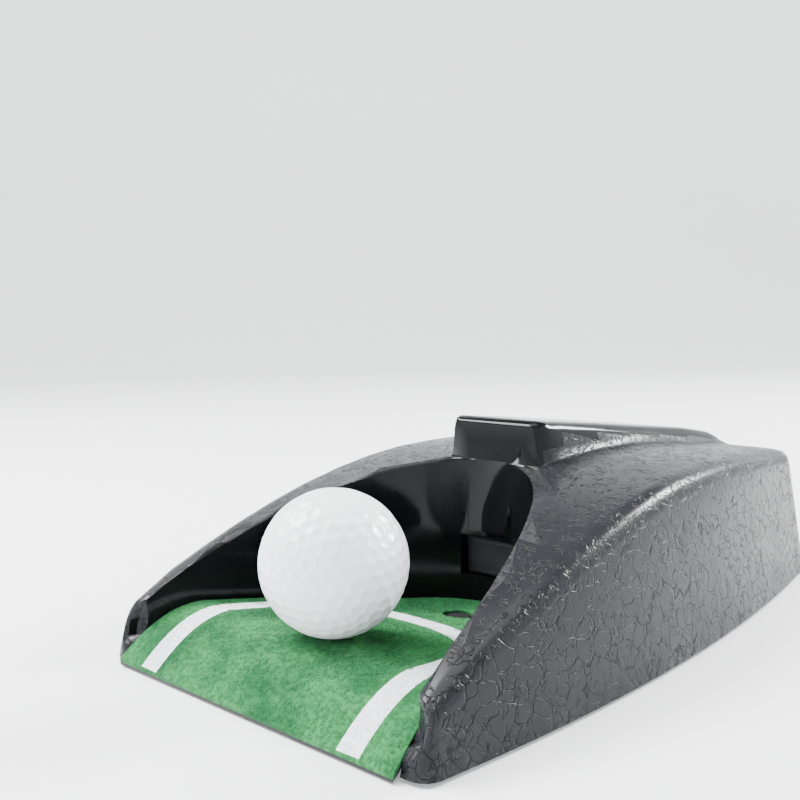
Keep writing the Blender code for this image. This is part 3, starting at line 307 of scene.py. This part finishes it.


# Shaded, middle and lit copies of the pile's green; the shade and the light are painted shade and painted
# sheen.
GREEN_SHADE = (0.001, 0.040, 0.010)
GREEN_MIDDLE = (0.002, 0.100, 0.025)
GREEN_LIGHT = (0.030, 0.230, 0.062)
CRACKLED = crackle_plastic()
GLOSS = gloss_plastic()
FINISHES = {
    "grained_black": CRACKLED,
    "satin_black": satin("satin_black_plastic", (0.012, 0.012, 0.013), (0.022, 0.022, 0.025), 0.42),
    "green_felt": pile("green_pile", GREEN_SHADE, GREEN_MIDDLE, GREEN_LIGHT, 0.8),
    "white_plastic": satin("white_nylon", (0.70, 0.70, 0.67), (0.80, 0.80, 0.77), 0.4),
    "ball_cover": ball_cover(),
    "grey_nylon": satin("grey_nylon_gear", (0.40, 0.40, 0.38), (0.50, 0.50, 0.47), 0.45),
    "steel": metal("plain_steel", (0.42, 0.42, 0.43), (0.60, 0.60, 0.61), 0.32),
    "brass": metal("turned_brass", (0.60, 0.42, 0.16), (0.78, 0.58, 0.27), 0.28),
    "black_rubber": satin("black_rubber_foot", (0.010, 0.010, 0.010), (0.022, 0.022, 0.022), 0.8, 900.0, 0.5),
    "cell_sleeve": satin("green_cell_sleeve", (0.03, 0.16, 0.07), (0.05, 0.22, 0.10), 0.3),
    "red_insulation": satin("red_wire_cover", (0.38, 0.012, 0.012), (0.52, 0.03, 0.02), 0.4),
    "black_insulation": satin("black_wire_cover", (0.008, 0.008, 0.008), (0.018, 0.018, 0.018), 0.4),
}
# The white line's pile in shaded, middle and lit copies of one white: painted shade and painted sheen as on
# the green.
WHITE_PILE = pile("white_pile", (0.50, 0.56, 0.58), (0.74, 0.80, 0.84), (0.84, 0.88, 0.92), 0.5)
SLOT_OF = {row["node"]: row["material_slot"] for row in frame["record"]["subparts"]}


# ---- mesh helpers ---------------------------------------------------------------------------
def merged_mesh(node):
    """A copy of a CAD node's mesh with its loose triangles joined."""
    bm = bmesh.new()
    bm.from_mesh(frame["nodes"][node].data)
    bmesh.ops.remove_doubles(bm, verts=bm.verts, dist=WELD)
    bmesh.ops.dissolve_degenerate(bm, edges=bm.edges, dist=1e-6)
    return bm


def object_from(name, bm, *finishes):
    mesh = bpy.data.meshes.new(name)
    bm.to_mesh(mesh)
    bm.free()
    for material in finishes:
        mesh.materials.append(material)
    made = bpy.data.objects.new(name, mesh)
    bpy.context.scene.collection.objects.link(made)
    return made


def smoothed(obj, angle=32.0):
    obj.data.shade_smooth()
    obj.data.set_sharp_from_angle(angle=math.radians(angle))
    weighted = obj.modifiers.new("even_shading", "WEIGHTED_NORMAL")
    weighted.keep_sharp = True


def stand_in(obj, node):
    """The piece moves with the node's body and is shown in its place."""
    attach(obj, BODY_OF[node])
    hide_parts(node)


def made_by_nodes(obj, tree, values):
    """Runs a node tree on an object and keeps the mesh that it makes."""
    modifier = obj.modifiers.new(tree.name, "NODES")
    modifier.node_group = tree
    for item in tree.interface.items_tree:
        if item.in_out == "INPUT" and item.name in values:
            modifier[item.identifier] = values[item.name]
    ready = obj.evaluated_get(bpy.context.evaluated_depsgraph_get())
    mesh = bpy.data.meshes.new_from_object(ready)
    obj.modifiers.clear()
    obj.data = mesh


def node_tree(name, **inputs):
    tree = bpy.data.node_groups.new(name, "GeometryNodeTree")
    tree.interface.new_socket("Geometry", in_out="INPUT", socket_type="NodeSocketGeometry")
    for label, value in inputs.items():
        kind = "NodeSocketInt" if isinstance(value, int) else "NodeSocketFloat"
        tree.interface.new_socket(label, in_out="INPUT", socket_type=kind).default_value = value
    tree.interface.new_socket("Geometry", in_out="OUTPUT", socket_type="NodeSocketGeometry")
    return tree, tree.nodes.new("NodeGroupInput").outputs, tree.nodes.new("NodeGroupOutput").inputs


# ---- ball -----------------------------------------------------------------------------------
def dimple_places(steps):
    """Unit directions of an even lattice on a ball: a twenty-sided solid with each edge in steps."""
    gold = (1 + math.sqrt(5)) / 2
    corners = [Vector(v).normalized() for v in (
        (-1, gold, 0), (1, gold, 0), (-1, -gold, 0), (1, -gold, 0), (0, -1, gold), (0, 1, gold),
        (0, -1, -gold), (0, 1, -gold), (gold, 0, -1), (gold, 0, 1), (-gold, 0, -1), (-gold, 0, 1),
    )]
    near = min((a - b).length for a in corners for b in corners if a is not b) * 1.01
    found = {}
    for i, a in enumerate(corners):
        for j, b in enumerate(corners):
            for k, c in enumerate(corners):
                if not i < j < k or max((a - b).length, (b - c).length, (a - c).length) > near:
                    continue
                for u in range(steps + 1):
                    for v in range(steps + 1 - u):
                        spot = (a * u + b * v + c * (steps - u - v)).normalized()
                        found[tuple(round(n, 5) for n in spot)] = spot
    return list(found.values())


def ball_tree():
    """Presses a round dimple into a fine ball at each point of the incoming mesh."""
    tree, given, out = node_tree("dimpled_ball", Radius=0.02, Dimple=0.0019, Depth=0.0002, Fineness=6)
    ball = add(tree, "GeometryNodeMeshIcoSphere",
               {"Radius": given["Radius"], "Subdivisions": given["Fineness"]})
    near = add(tree, "GeometryNodeProximity", {"Geometry": given["Geometry"]}, target_element="POINTS")
    share = math_node(tree, "DIVIDE", near.outputs["Distance"], given["Dimple"])
    bowl = math_node(tree, "SUBTRACT", 1.0, math_node(tree, "MULTIPLY", share, share), clamp=True)
    depth = math_node(tree, "MULTIPLY", bowl, math_node(tree, "MULTIPLY", given["Depth"], -1.0))
    normal = tree.nodes.new("GeometryNodeInputNormal").outputs[0]
    push = add(tree, "ShaderNodeVectorMath", {0: normal, "Scale": depth}, operation="SCALE")
    moved = add(tree, "GeometryNodeSetPosition",
                {"Geometry": ball.outputs["Mesh"], "Offset": push.outputs[0]})
    whole = add(tree, "GeometryNodeRealizeInstances", {"Geometry": moved.outputs[0]})
    dressed = add(tree, "GeometryNodeSetMaterial", {"Geometry": whole.outputs[0],
                                                    "Material": FINISHES["ball_cover"]})
    tree.links.new(dressed.outputs[0], out["Geometry"])
    return tree


def make_ball():
    centre = (BALL_LOW + BALL_HIGH) / 2
    radius = (BALL_HIGH.z - BALL_LOW.z) / 2
    bm = bmesh.new()
    turned = Matrix.Rotation(math.radians(24), 3, "Z") @ Matrix.Rotation(math.radians(37), 3, "X")
    for spot in dimple_places(DIMPLE_STEPS):
        bm.verts.new(turned @ spot * radius)
    ball = object_from("dimpled_golf_ball", bm)
    made_by_nodes(ball, ball_tree(), {
        "Radius": radius, "Dimple": DIMPLE_RADIUS, "Depth": DIMPLE_DEEP, "Fineness": BALL_FINENESS,
    })
    ball.data.transform(Matrix.Translation(centre))
    ball.data.shade_smooth()
    stand_in(ball, "golf_ball")


# ---- housing --------------------------------------------------------------------------------
def is_gloss(face):
    """True on the smooth parts: the cup's wall, the column and the ridge."""
    spot, normal = face.calc_center_median(), face.normal
    along = spot.y - FRONT
    if along > RIDGE_START and abs(spot.x) < RIDGE_HALF:
        return True
    towards = Vector((-spot.x, CUP_MIDDLE - along))
    inside = abs(spot.x) < CUP_OUTER and NOSE_END < along < CUP_END and normal.z < 0.6
    return inside and Vector((normal.x, normal.y)).dot(towards) > 0


def cup_line():
    """Points of the cup's right half in plan, each with the direction in which the wall faces."""
    points = []
    for i in range(CUP_STEPS + 1):
        t = i / CUP_STEPS
        s = 1 - t
        x = CUP_HALF * (s**3 + 0.885 * 3 * s * s * t + 0.53 * 3 * s * t * t)
        y = CUP_DEEP * (0.54 * 3 * s * s * t + 3 * s * t * t + t**3)
        points.append(Vector((x, FRONT + y)))
    facing = []
    for i in range(len(points)):
        along = (points[min(i + 1, CUP_STEPS)] - points[max(i - 1, 0)]).normalized()
        facing.append(Vector((-along.y, along.x)))
    return [(p, -f if f.x > 0 and i < 70 else f) for i, (p, f) in enumerate(zip(points, facing))]


def even_cup_wall(mesh):
    """Gives the cup's wall the normals of its smooth curve, so that its long facets don't show."""
    line = cup_line()
    spots = np.array([p for p, f in line])
    normals = np.array([c.vector for c in mesh.corner_normals])
    for face in mesh.polygons:
        if face.material_index != 1 or face.center.y - FRONT > CUP_DEEP + MM or abs(face.normal.z) > 0.5:
            continue
        for corner in face.loop_indices:
            at = mesh.vertices[mesh.loops[corner].vertex_index].co
            near = int(np.argmin((spots[:, 0] - abs(at.x)) ** 2 + (spots[:, 1] - at.y) ** 2))
            facing = line[near][1]
            side = -1 if at.x < 0 else 1
            level = Vector((side * facing.x, facing.y, CUP_LEAN))
            if level.dot(face.normal) > 0.5:
                normals[corner] = level.normalized()
    mesh.normals_split_custom_set([tuple(n) for n in normals])


def make_housing():
    bm = merged_mesh("upper_housing")
    for face in bm.faces:
        face.material_index = 1 if is_gloss(face) else 0
    housing = object_from("crackle_housing", bm, CRACKLED, GLOSS)
    smoothed(housing, 30.0)
    ready = housing.evaluated_get(bpy.context.evaluated_depsgraph_get())
    housing.data = bpy.data.meshes.new_from_object(ready)
    housing.modifiers.clear()
    even_cup_wall(housing.data)
    stand_in(housing, "upper_housing")


# ---- felt -----------------------------------------------------------------------------------
def line_points():
    """The white line's middle in plan, from its left foot round to its right one."""
    half = []
    for i in range(LINE_STEPS + 1):
        t = i / LINE_STEPS
        s = 1 - t
        weights = (s**3, 3 * s * s * t, 3 * s * t * t, t**3)
        half.append(Vector((sum(w * p[0] for w, p in zip(weights, LINE_CURVE)) * MM,
                            FRONT + sum(w * p[1] for w, p in zip(weights, LINE_CURVE)) * MM)))
    return [Vector((-p.x, p.y)) for p in half] + half[-2::-1]


def felt_surface():
    bm = merged_mesh("felt_mat")
    tree = BVHTree.FromBMesh(bm)
    bm.free()
    return tree


def make_line(surface):
    """The white line as a thin band that lies on the pile."""
    points = line_points()
    bm = bmesh.new()
    rows = []
    across = 6
    for i, point in enumerate(points):
        ahead = (points[min(i + 1, len(points) - 1)] - points[max(i - 1, 0)]).normalized()
        side = Vector((-ahead.y, ahead.x))
        row = []
        for k in range(across + 1):
            share = k / across - 0.5
            spot = point + side * LINE_WIDE * share
            spot.y = max(spot.y, FRONT + 0.1 * MM)
            hit = surface.ray_cast(Vector((spot.x, spot.y, 0.2)), Vector((0, 0, -1)))[0]
            level = hit.z if hit else FELT_LOW.z
            crown = 0.06 * MM if 0 < k < across else 0.01 * MM
            row.append(bm.verts.new((spot.x, spot.y, level + crown)))
        rows.append(row)
    for near, far in zip(rows, rows[1:]):
        for k in range(across):
            bm.faces.new((near[k], far[k], far[k + 1], near[k + 1]))
    bmesh.ops.recalc_face_normals(bm, faces=bm.faces)
    if sum(f.normal.z for f in bm.faces) < 0:
        bmesh.ops.reverse_faces(bm, faces=bm.faces)
    line = object_from("white_line", bm, WHITE_PILE)
    line.data.shade_smooth()
    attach(line, BODY_OF["felt_mat"])
    return line


def flock_tree(material):
    """Stands short tapered fibres on the incoming faces, leaning at random."""
    tree, given, out = node_tree("flock_" + material.name, Density=1e6, Long=0.0006, Thick=0.00006, Seed=7)
    spread = add(tree, "GeometryNodeDistributePointsOnFaces",
                 {"Mesh": given["Geometry"], "Density": given["Density"], "Seed": given["Seed"]})
    fibre = add(tree, "GeometryNodeMeshCone", {
        "Vertices": 3, "Radius Top": 0.0, "Radius Bottom": given["Thick"], "Depth": given["Long"],
    }, fill_type="NONE")
    lean = add(tree, "FunctionNodeRandomValue", {0: (-0.6, -0.6, 0.0), 1: (0.6, 0.6, 6.28), "Seed": 3},
               data_type="FLOAT_VECTOR")
    size = add(tree, "FunctionNodeRandomValue", {2: 0.6, 3: 1.2, "Seed": 5}, data_type="FLOAT")
    standing = add(tree, "GeometryNodeInstanceOnPoints", {
        "Points": spread.outputs["Points"], "Instance": fibre.outputs["Mesh"],
        "Rotation": lean.outputs[0], "Scale": size.outputs[1],
    })
    whole = add(tree, "GeometryNodeRealizeInstances", {"Geometry": standing.outputs[0]})
    dressed = add(tree, "GeometryNodeSetMaterial", {"Geometry": whole.outputs[0], "Material": material})
    tree.links.new(dressed.outputs[0], out["Geometry"])
    return tree


def make_flock(name, faces_of, keep, material, long):
    """Fibres on the upward faces of a piece that keep() accepts."""
    bm = bmesh.new()
    bm.from_mesh(faces_of.data)
    bmesh.ops.remove_doubles(bm, verts=bm.verts, dist=WELD)
    bmesh.ops.subdivide_edges(bm, edges=bm.edges, cuts=5, use_grid_fill=True)
    bmesh.ops.triangulate(bm, faces=bm.faces)
    gone = [f for f in bm.faces if f.normal.z < 0.4 or not keep(f.calc_center_median())]
    bmesh.ops.delete(bm, geom=gone, context="FACES")
    patch = object_from(name, bm)
    made_by_nodes(patch, flock_tree(material), {"Density": FIBRES, "Long": long, "Thick": FIBRE_THICK})
    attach(patch, BODY_OF["felt_mat"])


def make_felt():
    bm = merged_mesh("felt_mat")
    felt = object_from("felt_pile", bm, FINISHES["green_felt"])
    smoothed(felt, 40.0)
    stand_in(felt, "felt_mat")
    line = make_line(felt_surface())
    middle = line_points()

    def off_the_line(spot):
        flat = Vector((spot.x, spot.y))
        return min((flat - p).length for p in middle) > LINE_WIDE / 2

    make_flock("green_flock", felt, off_the_line, FINISHES["green_felt"], GREEN_LONG)
    make_flock("white_flock", line, lambda spot: True, WHITE_PILE, WHITE_LONG)


# ---- kicker face ----------------------------------------------------------------------------
def bar(bm, low, high):
    """A box between two corners, with its edges slightly rounded."""
    size = Vector(high) - Vector(low)
    place = Matrix.Translation((Vector(low) + Vector(high)) / 2) @ Matrix.Diagonal((*size, 1))
    made = bmesh.ops.create_cube(bm, size=1, matrix=place)
    edges = list({e for v in made["verts"] for e in v.link_edges})
    bmesh.ops.bevel(bm, geom=edges, offset=0.1 * MM, segments=2, affect="EDGES", clamp_overlap=True)


def make_kicker_face():
    """The raised rim, the ribs and the sunk slot on the front of the paddle."""
    front = PADDLE_LOW.y
    half = PADDLE_HIGH.x - 0.6 * MM
    low, high = PADDLE_LOW.z + 0.6 * MM, PADDLE_HIGH.z - 2.6 * MM
    rim = 0.45 * MM
    proud, sunk = front - 0.28 * MM, front + 0.2 * MM
    bm = bmesh.new()
    for a, b in (
        ((-half, proud, low), (half, sunk, low + rim)), ((-half, proud, high - rim), (half, sunk, high)),
        ((-half, proud, low), (-half + rim, sunk, high)), ((half - rim, proud, low), (half, sunk, high)),
    ):
        bar(bm, a, b)
    for i in range(3):
        level = high - 1.7 * MM - i * 0.9 * MM
        bar(bm, (-2.0 * MM, proud, level), (6.5 * MM, sunk, level + 0.35 * MM))
    bar(bm, (0.5 * MM, proud, low + 1.6 * MM), (7.5 * MM, sunk, low + 3.6 * MM))
    face = object_from("kicker_face_ribs", bm, FINISHES["satin_black"])
    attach(face, "kicker")


# ---- everything else ------------------------------------------------------------------------
def dress_the_rest():
    """Merged copies with even shading stand for all other CAD nodes; the springs' copies are shaded smooth
    and stay in place.
    """
    done = {"upper_housing", "felt_mat", "golf_ball"}
    for node in frame["nodes"]:
        if node in done:
            continue
        copy = object_from(node + "_finished", merged_mesh(node), FINISHES[SLOT_OF[node]])
        if node in SPRING_ENDS:
            copy.data.shade_smooth()
            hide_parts(node)
            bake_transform(copy)
        else:
            smoothed(copy)
            stand_in(copy, node)


# ---- stage, light and camera ----------------------------------------------------------------
def area(name, place, target, size, power):
    light = bpy.data.lights.new(name, "AREA")
    light.shape = "RECTANGLE"
    light.size, light.size_y = size
    light.energy = power
    obj = bpy.data.objects.new(name, light)
    obj.location = place
    obj.rotation_euler = (Vector(target) - Vector(place)).to_track_quat("-Z", "Y").to_euler()
    bpy.context.scene.collection.objects.link(obj)


def make_stage():
    """A pale round dish with curved sides, a dim sky and three soft lights."""
    bm = bmesh.new()
    turn = [math.pi / 2 * i / 10 for i in range(11)]
    curve = [(FLOOR_FLAT + FLOOR_CURVE * math.sin(a), FLOOR_CURVE - FLOOR_CURVE * math.cos(a)) for a in turn]
    profile = [(0.0, 0.0), *curve, (FLOOR_FLAT + FLOOR_CURVE, FLOOR_HIGH)]
    rows = [bm.verts.new((r, 0, z)) for r, z in profile]
    edges = [bm.edges.new(pair) for pair in zip(rows, rows[1:])]
    bmesh.ops.spin(bm, geom=[*rows, *edges], cent=(0, 0, 0), axis=(0, 0, 1), angle=2 * math.pi, steps=64)
    bmesh.ops.remove_doubles(bm, verts=bm.verts, dist=1e-5)
    bmesh.ops.recalc_face_normals(bm, faces=bm.faces)
    if sum(f.normal.z for f in bm.faces) < 0:
        bmesh.ops.reverse_faces(bm, faces=bm.faces)
    made, tree, shader = finish("pale_floor")
    shader.inputs["Emission Color"].default_value = (0.96, 0.98, 1.0, 1)
    shader.inputs["Emission Strength"].default_value = 0.28
    cloud = placed(tree, GRAIN, Fine=40.0, Patch=3.0)
    tree.links.new(blended(tree, cloud["Patches"], (0.86, 0.865, 0.87, 1), (0.89, 0.895, 0.90, 1)),
                   shader.inputs["Base Color"])
    shader.inputs["Roughness"].default_value = 0.7
    floor = object_from("floor", bm, made)
    floor.data.shade_smooth()
    world = bpy.data.worlds.new("studio")
    world.use_nodes = True
    bpy.context.scene.world = world
    back = world.node_tree.nodes["Background"]
    back.inputs["Color"].default_value = (0.93, 0.96, 1.0, 1)
    back.inputs["Strength"].default_value = 0.3
    area("key_left", (-0.60, -0.35, 0.85), (0, 0, 0.02), (0.5, 0.5), 34.0)
    area("overhead", (0.0, -0.2, 1.3), (0, 0, 0), (1.2, 1.2), 26.0)
    area("back_right", (0.42, 0.95, 0.62), (0.02, 0.0, 0.04), (0.30, 0.30), 34.0)


def make_camera():
    data = bpy.data.cameras.new("camera")
    data.lens = CAMERA_LENS
    data.sensor_width = 36.0
    data.shift_x, data.shift_y = CAMERA_SHIFT
    data.clip_start = 0.01
    camera = bpy.data.objects.new("camera", data)
    level = Matrix.Rotation(CAMERA_TURN, 4, "Z") @ Matrix.Rotation(math.pi / 2 - CAMERA_PITCH, 4, "X")
    camera.matrix_world = Matrix.Translation(CAMERA_AT) @ level @ Matrix.Rotation(CAMERA_ROLL, 4, "Z")
    bpy.context.scene.collection.objects.link(camera)
    bpy.context.scene.camera = camera


make_camera()
make_stage()
make_housing()
make_felt()
make_ball()
make_kicker_face()
dress_the_rest()
